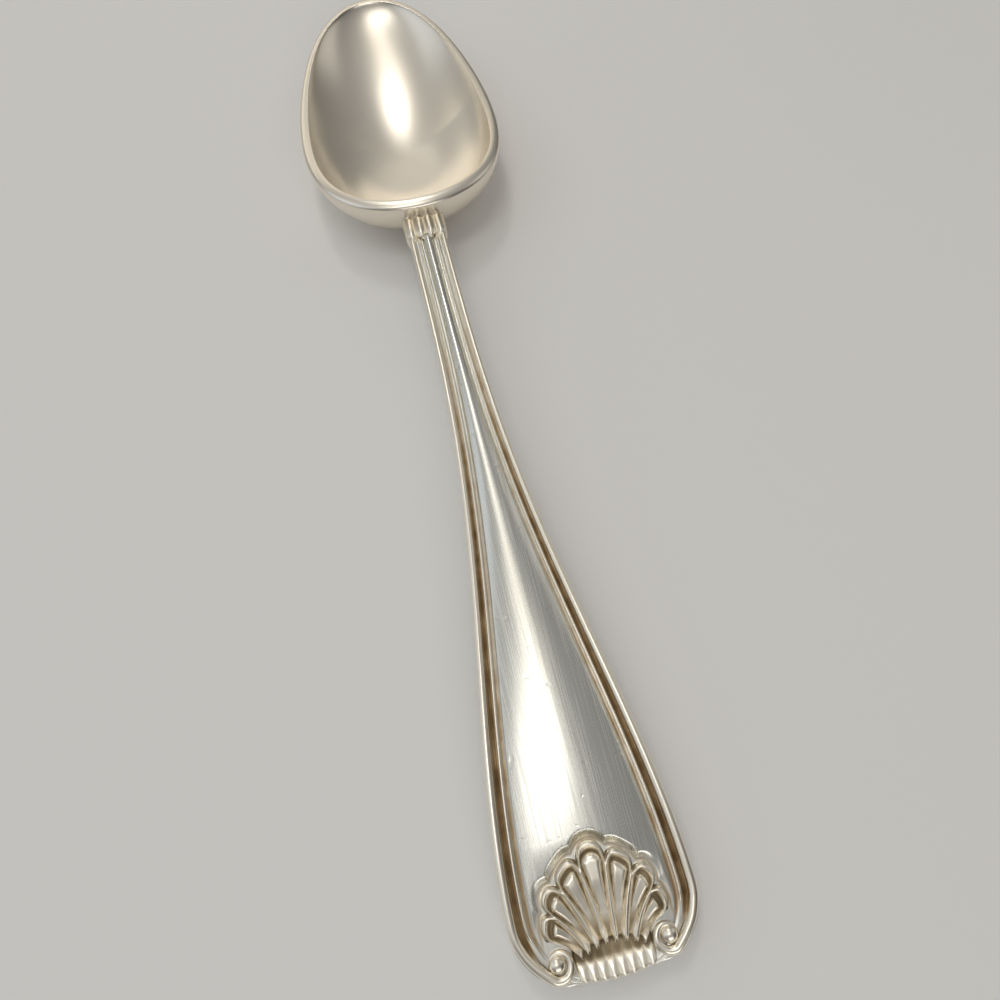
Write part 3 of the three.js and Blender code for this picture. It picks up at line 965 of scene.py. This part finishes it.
@dataclass
class ScallopShell(Piece):
    """The shell: seven flutes, each an arched ridge round a tapering tongue, ending in forked teeth."""

    name: str = "scallop_fan"
    node: str = "scallop_shell"
    shell: ShellPlan = ShellPlan()
    bed: float = 0.24
    bed_run: Run = (-0.04, 0.1)
    ridge: float = 0.68
    ridge_half: Pair = (0.42, 0.36)
    ridge_power: Pair = (0.45, 0.6)
    twin: float = 0.2
    twin_run: Run = (0.76, 0.2)
    tongue: float = 0.6
    tongue_run: Run = (0.46, 0.8)
    tongue_side: float = 0.5
    least_side: float = 0.05
    recess: Pair = (0.34, 0.52)
    recess_run: float = 0.8
    corner: float = 0.5
    arch: float = 0.6
    drop: float = 0.12
    tooth: float = 0.56
    tooth_half: float = 0.86
    tooth_fullness: float = 1.5
    fork: float = 0.24
    fork_half: float = 0.26
    tip: float = 0.2
    tip_run: float = 0.16
    nose: float = 0.3
    nose_run: float = 0.06
    sunk: float = 0.9
    undercut: float = 0.2
    lean: float = 0.1
    skirt: float = 0.22
    skirt_stain: float = 0.06
    # Darkness of the valleys from the teeth to the edge: tarnish with painted shade between the ridges and
    # tongues.
    stain: Pair = (0.6, 0.95)
    tarnish_and_shade_fall: float = 3.2
    wall_steps: int = 2
    skirt_steps: int = 3
    lobe_steps: int = 28
    rows: int = 104

    def tooth_reach(self, within: float) -> float:
        """Draws the forked teeth, which sit on the ridges.

        Args:
            within: Where in its lobe a line of the fan lies, with the ridges at -1 and 1.

        Returns:
            How far the line starts below the row of teeth.
        """
        off = 1 - abs(within)
        tooth = min(1.0, self.tooth_fullness * hump(off / self.tooth_half))
        return self.tooth * tooth - self.fork * hump(off / self.fork_half)

    def lobe_sizes(self, lobe: float, v: float) -> tuple[float, float]:
        """Measures a lobe.

        Args:
            lobe: Number of the lobe's middle line, counted from the axis.
            v: Share of the way from the teeth to the edge.

        Returns:
            Half the lobe's width at v, and its length.
        """
        middle, beside = lobe / self.shell.lobes, (lobe + 1) / self.shell.lobes
        half = (self.shell.point(middle, v) - self.shell.point(beside, v)).length
        return half, (self.shell.point(middle, 1.0) - self.shell.point(middle, 0.0)).length

    @staticmethod
    def depth_in(side: float, above: float, corner: float) -> float:
        """Measures how deep a point lies inside a lobe with rounded corners.

        Args:
            side: Distance to the lobe's side.
            above: Distance to the lobe's end.
            corner: Radius of the corners.

        Returns:
            Distance to the lobe's outline.
        """
        if side < corner and above < corner:
            return corner - math.hypot(corner - side, corner - above)
        return min(side, above)

    def relief(self, u: float, v: float) -> tuple[float, float]:
        """Carves the fan.

        Args:
            u: Line of the fan.
            v: Share of the way from the teeth to the edge.

        Returns:
            The height over the seat, and how deep the point lies in a hollow, which sets tarnish and painted
            shade in the valleys.
        """
        within = self.shell.within_lobe(u)
        half, length = self.lobe_sizes(abs(self.shell.lobes * u - within), v)
        side, above = half * (1 - abs(within)), self.arch * (1 - v) * length
        inside = self.depth_in(side, above, self.corner * half)
        behind = self.depth_in(side, above - self.drop, self.corner * half)
        apart = self.twin * smooth(v, *self.twin_run)
        ridge = hump((inside - apart) / between(*self.ridge_half, v)) ** between(*self.ridge_power, v)
        deep = between(*self.recess, smooth(v / self.recess_run))
        swell = bulge((behind - deep) / max(self.tongue_side * (half - deep), self.least_side))
        high = max(self.ridge * ridge, self.tongue * swell * smooth(half, *self.tongue_run))
        # Lower places are darkened: tarnish plus painted shade in the valleys.
        stain = clamp(1 - self.tarnish_and_shade_fall * high / self.ridge) * between(*self.stain, v)
        high += self.bed * smooth(v, *self.bed_run) + self.tip * hump(v / self.tip_run) * ridge
        return high * between(self.nose, 1.0, bulge(v / self.nose_run)), stain

    def spot(self, u: float, v: float) -> Spot:
        """Finds a point of the fan's skin.

        Args:
            u: Line of the fan.
            v: Place on the line: below 0 on the wall under the teeth, above 1 on the skirt round the edge.

        Returns:
            The point.
        """
        at = self.shell.point(u, clamp(v), self.tooth_reach(self.shell.within_lobe(u)))
        high, stain = self.relief(u, clamp(v))
        if v < 0:
            at.y -= self.undercut * v
            # The wall under the teeth is darkened fully: painted shade under the teeth, with tarnish.
            high, stain = between(high, -self.sunk, -v), 1.0
        if v > 1:
            turn = math.pi / 2 * (v - 1)
            at = self.shell.edge(u, self.skirt * math.sin(turn))
            high = between(high, -self.sunk, 1 - math.cos(turn))
            stain = self.skirt_stain * (v - 1)
        return Spot(at.x, at.y, self.plan.seat(at.y) + high, stain)

    def shape(self, work: Workpiece) -> None:
        """Skins the fan, with a wall that goes down into its seat all round.

        Args:
            work: The workpiece.
        """
        columns = [2 * t - 1 for t in steps(self.shell.lobes * self.lobe_steps)]
        wall = [t - 1 for t in steps(self.wall_steps)[:-1]]
        skirt = [t + 1 for t in steps(self.skirt_steps)[1:]]
        rows = []
        for v in [*wall, *steps(self.rows), *skirt]:
            row = [self.spot(u, v) for u in columns]
            first, last = row[0], row[-1]
            foot = self.plan.seat(first.s) - self.sunk
            lean = self.lean * (1 - clamp(max(v - 1, -v)))
            ends = Spot(first.x - lean, first.s, foot, 1.0), Spot(last.x + lean, last.s, foot, 1.0)
            rows.append([ends[0], *row, ends[1]])
        work.skin(rows)


@dataclass
class RibbedFoot(Piece):
    """The ribbed roll below the shell, between the scrolls."""

    name: str = "ribbed_roll"
    node: str = "ribbed_foot"
    half: float = 3.6
    ribs: int = 8
    rib_power: float = 0.6
    start: float = -0.3
    length: float = 3.3
    bow: float = 0.03
    setback: float = 0.2
    height: float = 0.62
    low: float = -0.5
    crest_run: float = 0.95
    groove: float = 0.3
    groove_run: float = 0.8
    # Darkness between the ribs and on their rear towards the hollow: tarnish plus painted shade under the
    # teeth and between the ribs.
    groove_stain: float = 0.45
    back_stain: float = 0.8
    back_run: Run = (0.36, 0.32)
    hollow_tarnish_and_shade_run: Run = (0.7, 0.25)
    sunk: float = 0.8
    nose: float = 0.12
    rib_steps: int = 14
    rows: int = 40

    def spot(self, u: float, v: float) -> Spot:
        """Finds a point of the roll's skin.

        Args:
            u: Place across, from -1 to 1.
            v: Share of the way from the ribs' noses to the hollow, or a value outside 0 to 1 on the foot.

        Returns:
            The point.
        """
        x = self.half * u
        gap = 1 - abs(math.sin(math.pi / 2 * self.ribs * (u + 1))) ** self.rib_power
        front = self.start + self.bow * x * x + self.setback * gap
        s = between(front, self.start + self.length, clamp(v))
        crest = between(self.height, self.low, smooth(v / self.crest_run))
        crest -= self.groove * gap * (1 - smooth(v / self.groove_run))
        high = between(-self.sunk, crest, bulge(v / self.nose)) if 0 <= v <= 1 else -self.sunk
        # The rear of the roll and the grooves between ribs are darkened: tarnish plus painted shade.
        back = max(self.back_stain * smooth(v, *self.back_run), smooth(v, *self.hollow_tarnish_and_shade_run))
        return Spot(x, s, self.plan.seat(s) + high, max(self.groove_stain * gap, back))

    def shape(self, work: Workpiece) -> None:
        """Skins the roll: each rib has a round nose and sinks back into the hollow under the teeth.

        Args:
            work: The workpiece.
        """
        columns = [2 * t - 1 for t in steps(self.ribs * self.rib_steps)]
        rows = []
        for v in [-1.0, *steps(self.rows), 2.0]:
            row = [self.spot(u, v) for u in columns]
            ends = [p._replace(z=self.plan.seat(p.s) - self.sunk) for p in (row[0], row[-1])]
            rows.append([ends[0], *row, ends[1]])
        work.skin(rows)


@dataclass
class HeelCollar(Piece):
    """The lobed collar that clasps the stem's end and runs on as a heel under the bowl."""

    bowl: Bowl | None = None
    name: str = "lobed_collar"
    node: str = "heel_collar"
    proud: float = 0.4
    lobes: int = 4
    lobe_height: float = 0.4
    lobe_power: float = 0.9
    lobe_bow: float = 1.1
    lead: float = 0.2
    scallop: float = 0.7
    back_flat: float = 0.7
    back_soft: float = 0.9
    back_lobe: float = 0.6
    heel: float = 8.0
    heel_drop: float = 1.6
    heel_end: float = 0.55
    heel_run: float = 6.0
    overlap: float = 0.3
    overlap_lead: float = 0.5
    nose: float = 0.72
    nose_run: float = 1.1
    stain: float = 0.3
    stain_run: Run = (-0.15, 0.5)
    crowding: float = 1.6
    arc_steps: int = 8
    lobe_steps: int = 14
    rows: int = 56

    def section(self) -> list[tuple[float, float, float]]:
        """Draws the collar's outline round the stem.

        Returns:
            x, height and how much of a lobe it has, for each point.
        """
        plan = self.plan
        half = plan.stem_width / 2 + self.proud
        top = plan.seat(plan.neck_place) + plan.stem_crown
        low = plan.back(plan.neck_place) - self.proud
        outline = []
        for t in steps(self.lobes * self.lobe_steps):
            lobe = abs(math.sin(math.pi * self.lobes * t)) ** self.lobe_power
            across = 2 * t - 1
            lift = self.lobe_height * (lobe - self.lobe_bow * across * across)
            outline.append((half * across, top + lift, lobe))
        corners = [(half, outline[-1][1]), (half, (top + low) / 2), (half * self.back_flat, low), (0.0, low)]
        under = soften(corners, self.back_soft, self.arc_steps)[1:]
        outline += [(x, z, self.back_lobe) for x, z in under]
        outline += [(-x, z, self.back_lobe) for x, z in under[-2::-1]]
        return outline

    def spot(self, x: float, z: float, lobe: float, t: float) -> Spot:
        """Finds a point of the collar's skin.

        Args:
            x: Place across, on the outline.
            z: Height on the outline.
            lobe: How much of a lobe the outline has there.
            t: Share of the way from the nose to the heel's end.

        Returns:
            The point.
        """
        plan = self.plan
        core = (plan.seat(plan.neck_place) + plan.back(plan.neck_place)) / 2
        end = plan.handle_length + self.heel
        start = plan.neck_place - self.lead + self.scallop * (1 - lobe)
        s = between(start, end, t**self.crowding)
        past = clamp((s - start) / self.nose_run)
        keep = between(self.nose, 1.0, bulge(past))
        wide = x * keep * between(self.heel_end, 1.0, smooth((end - s) / self.heel_run))
        high = core + (z - core) * keep
        if z < core:
            high -= self.heel_drop * smooth(s, plan.neck_place, end - plan.neck_place)
        if s > plan.handle_length - self.overlap_lead:
            high = min(high, self.bowl.outer_height(wide, s) + self.overlap)
        return Spot(wide, s, high, self.stain * (1 - lobe) * smooth(1 - past, *self.stain_run))

    def shape(self, work: Workpiece) -> None:
        """Skins the collar from its lobed nose to the heel's end, under the bowl."""
        outline = self.section()
        work.skin([[self.spot(*point, t) for point in outline] for t in steps(self.rows)], wrap=True)


class Pattern(NamedTuple):
    """A cloudy pattern: waves per metre, finer layers, and the range that is stretched onto another."""

    scale: float
    detail: float
    low: float
    high: float
    to_low: float
    to_high: float

    @property
    def limits(self) -> tuple[float, float, float, float]:
        """The range that is stretched, and the one that it is stretched onto."""
        return self.low, self.high, self.to_low, self.to_high


class Wiring:
    """A node tree that grows by short calls."""

    # Numbers that the mix node gives its sockets for colours.
    MIX_SHARE, MIX_A, MIX_B, MIXED = 0, 6, 7, 2

    def __init__(self, tree: bpy.types.NodeTree) -> None:
        """Takes over a tree."""
        self.tree = tree

    def feed(self, node: bpy.types.Node, inputs: dict[str | int, Value]) -> None:
        """Sets inputs of a node.

        Args:
            node: The node.
            inputs: A value, or another node's socket to link, for each input by name or number.
        """
        for socket, value in inputs.items():
            if isinstance(value, bpy.types.NodeSocket):
                self.tree.links.new(value, node.inputs[socket])
            else:
                node.inputs[socket].default_value = value

    def add(self, kind: str, inputs: dict[str | int, Value], **settings: object) -> bpy.types.Node:
        """Adds a node.

        Args:
            kind: The node's kind, by Blender's name without its prefix.
            inputs: A value, or another node's socket to link, for each input by name or number.
            **settings: The node's own settings.

        Returns:
            The node.
        """
        node = self.tree.nodes.new(f"ShaderNode{kind}")
        for name, setting in settings.items():
            setattr(node, name, setting)
        self.feed(node, inputs)
        return node

    def combine(self, kind: str, a: Value, b: Value) -> bpy.types.NodeSocket:
        """Returns two values combined by an operation, by Blender's name for it."""
        return self.add("Math", {0: a, 1: b}, operation=kind).outputs[0]

    def mix(self, share: Value, a: Value, b: Value) -> bpy.types.NodeSocket:
        """Returns a blend of two colours, with a share of the second."""
        inputs = {self.MIX_SHARE: share, self.MIX_A: a, self.MIX_B: b}
        return self.add("Mix", inputs, data_type="RGBA").outputs[self.MIXED]

    def stretch(self, value: Value, *limits: float) -> bpy.types.NodeSocket:
        """Returns a value stretched from the range of the first two limits to that of the last two."""
        return self.add("MapRange", dict(enumerate((value, *limits)))).outputs["Result"]

    def noise(self, place: Value, pattern: Pattern) -> bpy.types.NodeSocket:
        """Returns a pattern's plain value at a place."""
        inputs = {"Vector": place, "Scale": pattern.scale, "Detail": pattern.detail}
        return self.add("TexNoise", inputs).outputs["Fac"]

    def pattern(self, place: Value, pattern: Pattern) -> bpy.types.NodeSocket:
        """Returns a pattern's stretched value at a place."""
        return self.stretch(self.noise(place, pattern), *pattern.limits)


class SilverGroups:
    """The node groups that every silver finish shares: stains and painted shade in the hollows, and marks of
    polishing.
    """

    PATCHES = Pattern(420.0, 4.0, 0.25, 0.75, 0.72, 1.12)
    FILM = Pattern(90.0, 3.0, 0.42, 0.72, 0.0, 0.55)
    LINES = Pattern(1.0, 3.0, 0.45, 0.72, 0.0, 0.22)
    WORN = Pattern(160.0, 2.0, 0.35, 0.7, 0.25, 1.0)
    PITS = Pattern(620.0, 1.0, 0.69, 0.77, 0.0, 1.0)
    AMBER_FROM, AMBER_TO = 0.2, 0.62
    BROWN_FROM, BROWN_TO = 0.55, 1.0
    DULLING = 0.32

    def __init__(self) -> None:
        """Builds both groups."""
        self.stain = self.build_stain_and_shade()
        self.polish = self.build_polish()

    @staticmethod
    def start(
        name: str, inputs: dict[str, str], outputs: dict[str, str]
    ) -> tuple[Wiring, bpy.types.NodeOutputs, bpy.types.Node]:
        """Starts a group.

        Args:
            name: The group's name.
            inputs: Kind of each input socket, by name.
            outputs: Kind of each output socket, by name.

        Returns:
            The group's wiring, the sockets that it is given and the node that takes its results.
        """
        tree = bpy.data.node_groups.new(name, "ShaderNodeTree")
        for direction, sockets in (("INPUT", inputs), ("OUTPUT", outputs)):
            for socket, kind in sockets.items():
                tree.interface.new_socket(socket, in_out=direction, socket_type=f"NodeSocket{kind}")
        given = tree.nodes.new("NodeGroupInput")
        return Wiring(tree), given.outputs, tree.nodes.new("NodeGroupOutput")

    def build_stain_and_shade(self) -> bpy.types.NodeTree:
        """Builds the group that darkens hollows from amber to brown, for tarnish and painted shade, and
        clouds the open silver a little.

        Returns:
            The group.
        """
        colours = dict.fromkeys(("Silver", "Cloud", "Amber", "Brown"), "Color")
        wires, given, result = self.start(
            "silver_stain_and_shade",
            {"Place": "Vector", "Hollow": "Float", **colours},
            {"Colour": "Color", "Stain And Shade": "Float"},
        )
        stain = wires.combine("MULTIPLY", given["Hollow"], wires.pattern(given["Place"], self.PATCHES))
        amber = wires.stretch(stain, self.AMBER_FROM, self.AMBER_TO, 0.0, 1.0)
        brown = wires.stretch(stain, self.BROWN_FROM, self.BROWN_TO, 0.0, 1.0)
        colour = wires.mix(wires.pattern(given["Place"], self.FILM), given["Silver"], given["Cloud"])
        colour = wires.mix(amber, colour, given["Amber"])
        colour = wires.mix(brown, colour, given["Brown"])
        wires.feed(result, {"Colour": colour, "Stain And Shade": stain})
        return wires.tree

    def build_polish(self) -> bpy.types.NodeTree:
        """Builds the group that draws fine lengthwise scratches and small dings and dulls the hollows.

        Returns:
            The group.
        """
        numbers = dict.fromkeys(("Stain And Shade", "Base", "Line Bump", "Ding Bump"), "Float")
        wires, given, result = self.start(
            "silver_polish",
            {"Place": "Vector", "Lines": "Vector", **numbers},
            {"Roughness": "Float", "Height": "Float"},
        )
        drawn = wires.add("VectorMath", {0: given["Place"], 1: given["Lines"]}, operation="MULTIPLY")
        lines = wires.noise(drawn.outputs["Vector"], self.LINES)
        rubbed = wires.combine("MULTIPLY", wires.stretch(lines, *self.LINES.limits), given["Line Bump"])
        dull = wires.combine("MULTIPLY", given["Stain And Shade"], self.DULLING)
        rough = wires.combine("ADD", wires.combine("ADD", given["Base"], rubbed), dull)
        scratches = wires.combine("MULTIPLY", lines, given["Line Bump"])
        worn = wires.combine("MULTIPLY", scratches, wires.pattern(given["Place"], self.WORN))
        dings = wires.combine("MULTIPLY", wires.pattern(given["Place"], self.PITS), given["Ding Bump"])
        wires.feed(result, {"Roughness": rough, "Height": wires.combine("SUBTRACT", worn, dings)})
        return wires.tree


@dataclass(frozen=True)
class SilverFinish:
    """A silver surface: its own tone, the stains and painted shade in its hollows and the marks of its
    polishing.
    """

    name: str
    tone: Colour
    cloud: Colour
    amber: Colour
    brown: Colour
    roughness: float
    line_bump: float
    ding_bump: float
    lines: Place
    bump_strength: float = 0.35
    bump_depth: float = 0.02

    def material(self, groups: SilverGroups) -> bpy.types.Material:
        """Builds the finish.

        Args:
            groups: The node groups that the finishes share.

        Returns:
            The finished material.
        """
        material = bpy.data.materials.new(self.name)
        material.use_nodes = True
        wires = Wiring(material.node_tree)
        place = wires.add("TexCoord", {}).outputs["Object"]
        hollow = wires.add("Attribute", {}, attribute_name=HOLLOW).outputs["Fac"]
        colours = {"Silver": self.tone, "Cloud": self.cloud, "Amber": self.amber, "Brown": self.brown}
        stain = wires.add("Group", {}, node_tree=groups.stain)
        wires.feed(stain, {"Place": place, "Hollow": hollow, **colours})
        polish = wires.add("Group", {}, node_tree=groups.polish)
        wires.feed(polish, {"Place": place, "Stain And Shade": stain.outputs["Stain And Shade"], "Lines": self.lines})
        wires.feed(polish, {"Base": self.roughness, "Line Bump": self.line_bump, "Ding Bump": self.ding_bump})
        bump = wires.add("Bump", {"Strength": self.bump_strength, "Distance": self.bump_depth * MM})
        wires.feed(bump, {"Height": polish.outputs["Height"]})
        wires.feed(material.node_tree.nodes["Principled BSDF"], {
            "Metallic": 1.0,
            "Base Color": stain.outputs["Colour"],
            "Roughness": polish.outputs["Roughness"],
            "Normal": bump.outputs["Normal"],
        })
        return material


POLISHED = SilverFinish(
    name="polished_silver_worn",
    tone=(0.79, 0.785, 0.73, 1.0),
    cloud=(0.745, 0.735, 0.67, 1.0),
    amber=(0.42, 0.30, 0.165, 1.0),
    brown=(0.15, 0.09, 0.042, 1.0),
    roughness=0.235,
    line_bump=0.68,
    ding_bump=2.0,
    lines=(6200.0, 70.0, 900.0),
)
HOLLOWED = replace(
    POLISHED,
    name="polished_silver_hollowed",
    tone=(0.90, 0.84, 0.735, 1.0),
    cloud=(0.85, 0.785, 0.67, 1.0),
    roughness=0.3,
    line_bump=0.03,
    ding_bump=0.05,
)
# The amber and brown are dulled to olive: tarnish on the wires, and also painted shade in the shell's and
# roll's recesses.
STRUCK = SilverFinish(
    name="struck_silver_stained",
    tone=(0.96, 0.90, 0.785, 1.0),
    cloud=(0.90, 0.83, 0.70, 1.0),
    amber=(0.44, 0.365, 0.25, 1.0),
    brown=(0.14, 0.105, 0.06, 1.0),
    roughness=0.3,
    line_bump=0.04,
    ding_bump=0.02,
    lines=(5000.0, 1500.0, 3000.0),
)


@dataclass(frozen=True)
class Softbox:
    """A rectangular studio lamp."""

    name: str
    place: Place
    aim: Place
    size: tuple[float, float]
    power: float
    colour: tuple[float, float, float]

    def build(self) -> None:
        """Hangs the lamp and turns it to its aim."""
        light = bpy.data.lights.new(self.name, "AREA")
        light.shape = "RECTANGLE"
        light.size, light.size_y = self.size
        light.energy = self.power
        light.color = self.colour
        towards = Vector(self.aim) - Vector(self.place)
        turn = towards.to_track_quat("-Z", "Y").to_matrix().to_4x4()
        link(self.name, light).matrix_world = Matrix.Translation(self.place) @ turn


@dataclass(frozen=True)
class Camera:
    """The camera, at the photograph's viewing angle close above the handle's end."""

    place: Place = (-4.654, 11.578, 79.271)
    yaw: float = 8.037
    pitch: float = 64.015
    roll: float = -6.068
    focal_pixels: float = 720.8
    frame_pixels: float = 1000.0
    sensor: float = 36.0
    near: float = 0.001
    far: float = 20.0

    def build(self, plan: SpoonPlan) -> None:
        """Sets up the camera and makes it the scene's own.

        Args:
            plan: The spoon's plan, whose middle is the origin.
        """
        yaw, pitch, roll = (math.radians(a) for a in (self.yaw, self.pitch, self.roll))
        level = Vector((math.cos(yaw), -math.sin(yaw), 0.0))
        forward = Vector((math.sin(yaw), math.cos(yaw), 0.0))
        ahead = forward * math.cos(pitch) - Vector((0.0, 0.0, math.sin(pitch)))
        upright = level.cross(ahead)
        right = math.cos(roll) * level + math.sin(roll) * upright
        up = math.cos(roll) * upright - math.sin(roll) * level
        lens = bpy.data.cameras.new("photo_camera")
        lens.sensor_width = self.sensor
        lens.lens = self.focal_pixels / self.frame_pixels * self.sensor
        lens.clip_start, lens.clip_end = self.near, self.far
        camera = link("photo_camera", lens)
        x, s, z = self.place
        turn = Matrix((right, up, -ahead)).transposed().to_4x4()
        camera.matrix_world = Matrix.Translation(Vector((x, s - plan.length / 2, z)) * MM) @ turn
        bpy.context.scene.camera = camera


@dataclass
class Studio:
    """The pale table and the soft light round the spoon."""

    table_radius: float = 2.5
    table_sides: int = 96
    table_colour: Colour = (0.86, 0.85, 0.835, 1.0)
    table_roughness: float = 0.6
    air: Colour = (0.40, 0.40, 0.395, 1.0)
    low_air: Colour = (0.05, 0.048, 0.046, 1.0)
    air_axis: Place = (-0.34, 0.32, 0.88)
    air_span: tuple[float, float] = (0.0, 0.95)
    lamps: tuple[Softbox, ...] = (
        Softbox(
            "handle_softbox", (-0.105, -0.06, 0.60), (-0.02, -0.05, 0.0),
            size=(0.13, 0.30), power=0.32, colour=(1.0, 0.975, 0.93),
        ),
        Softbox(
            "bowl_softbox", (-0.01, 0.42, 0.58), (0.0, 0.04, 0.0),
            size=(0.10, 0.14), power=0.34, colour=(1.0, 0.97, 0.92),
        ),
        Softbox(
            "ceiling_softbox", (-0.04, 0.20, 0.66), (0.0, 0.0, 0.0),
            size=(0.16, 0.55), power=0.28, colour=(1.0, 0.94, 0.84),
        ),
        Softbox(
            "right_softbox", (0.80, 0.20, 0.45), (0.0, 0.0, 0.0),
            size=(0.60, 0.60), power=0.50, colour=(1.0, 0.96, 0.90),
        ),
        Softbox(
            "left_softbox", (-0.85, 0.1, 0.50), (0.0, 0.0, 0.0),
            size=(1.00, 0.80), power=1.10, colour=(0.80, 0.89, 1.0),
        ),
        Softbox(
            "end_softbox", (0.05, -0.80, 0.42), (0.0, -0.06, 0.0),
            size=(0.70, 0.40), power=1.70, colour=(1.0, 0.97, 0.92),
        ),
        Softbox(
            "tip_softbox", (-0.10, 1.00, 0.34), (0.0, 0.05, 0.0),
            size=(1.10, 0.36), power=0.95, colour=(1.0, 0.90, 0.74),
        ),
    )

    def build(self) -> None:
        """Lays the table, hangs the lamps and lights the air."""
        self.lay_table()
        for lamp in self.lamps:
            lamp.build()
        self.light_air()
        bpy.context.scene.view_settings.view_transform = "Standard"

    def lay_table(self) -> None:
        """Lays the table, with a plain pale finish."""
        mesh = bmesh.new()
        bmesh.ops.create_circle(mesh, cap_ends=True, segments=self.table_sides, radius=self.table_radius)
        data = bpy.data.meshes.new("table_top")
        mesh.to_mesh(data)
        mesh.free()
        table = link("table_top", data)
        material = bpy.data.materials.new("pale_table")
        material.use_nodes = True
        shader = material.node_tree.nodes["Principled BSDF"]
        shader.inputs["Base Color"].default_value = self.table_colour
        shader.inputs["Roughness"].default_value = self.table_roughness
        data.materials.append(material)

    def light_air(self) -> None:
        """Lights the air, brightest on the left and beyond the bowl's tip."""
        world = bpy.data.worlds.new("studio_air")
        world.use_nodes = True
        wires = Wiring(world.node_tree)
        place = wires.add("TexCoord", {}).outputs["Generated"]
        height = wires.add("VectorMath", {0: place, 1: self.air_axis}, operation="DOT_PRODUCT")
        share = wires.stretch(height.outputs["Value"], *self.air_span, 0.0, 1.0)
        wires.feed(world.node_tree.nodes["Background"], {"Color": wires.mix(share, self.low_air, self.air)})
        bpy.context.scene.world = world


def main() -> None:
    """Builds the camera, the studio and every piece of the spoon."""
    logging.basicConfig(level=logging.INFO, format="%(message)s")
    plan = SpoonPlan()
    Camera().build(plan)
    Studio().build()
    groups = SilverGroups()
    looks = {Look.HANDLE: POLISHED, Look.BOWL: HOLLOWED, Look.ORNAMENT: STRUCK}
    finishes = {look: finish.material(groups) for look, finish in looks.items()}
    bowl = Bowl(plan)
    pieces: list[Piece] = [
        bowl,
        HeelCollar(plan, bowl=bowl),
        HandleBlank(plan),
        BorderWire(plan, "bead_left", "border_wire_left", side=Side.LEFT),
        BorderWire(plan, "bead_right", "border_wire_right", side=Side.RIGHT),
        InnerThread(plan, "thread_left", "inner_thread_left", side=Side.LEFT),
        InnerThread(plan, "thread_right", "inner_thread_right", side=Side.RIGHT),
        ScallopShell(plan),
        RibbedFoot(plan),
    ]
    for piece in pieces:
        made = piece.build()
        piece.dress(made, finishes)
        log.info("%s: %d faces, in place of %s", made.name, len(made.data.polygons), piece.node)


if __name__ == "__main__":
    main()
